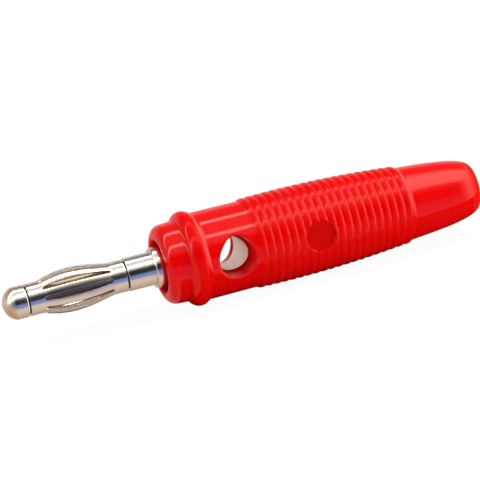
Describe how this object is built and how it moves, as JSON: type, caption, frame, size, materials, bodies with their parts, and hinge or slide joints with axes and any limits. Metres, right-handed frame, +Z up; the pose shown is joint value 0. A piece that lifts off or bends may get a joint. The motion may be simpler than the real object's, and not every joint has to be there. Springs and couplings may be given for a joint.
{
  "type": "banana plug",
  "caption": "Four millimetre banana plug with a slotted lantern spring, a cross hole for stacking, a wire clamp screw and a ribbed pull-back sleeve.",
  "frame": {"origin": "on the plug's axis, at the front face of the sleeve's nose, where the plug stops against a socket", "axes": "+X along the plug's axis towards the cable end, the tip points to -X; Y along the cross hole; +Z up, towards the clamp screw"},
  "size_m": [0.0584, 0.0112, 0.0112],
  "materials": {
    "contact_body": "bright nickel plate on turned brass",
    "lantern_spring": "bright nickel plate on spring sheet",
    "clamp_screw": "zinc plated",
    "insulating_sleeve": "soft moulded vinyl, glossy with a satin tail"
  },
  "bodies": {
    "contact": {"contact_body": "contact_body"},
    "spring": {"lantern_spring": "lantern_spring"},
    "screw": {"clamp_screw": "clamp_screw"},
    "sleeve": {"insulating_sleeve": "insulating_sleeve"}
  },
  "joints": [
    {"name": "spring_spin", "type": "hinge", "parent": "contact", "child": "spring", "pos_m": [-0.0101, 0, 0], "axis": [1, 0, 0], "continuous": true},
    {"name": "screw_turn", "type": "hinge", "parent": "contact", "child": "screw", "pos_m": [0.0153, 0, 0.002], "axis": [0, 0, -1], "range_deg": [0, 720]},
    {"name": "sleeve_pull_back", "type": "slide", "parent": "contact", "child": "sleeve", "axis": [1, 0, 0], "range_m": [0, 0.024]}
  ]
}
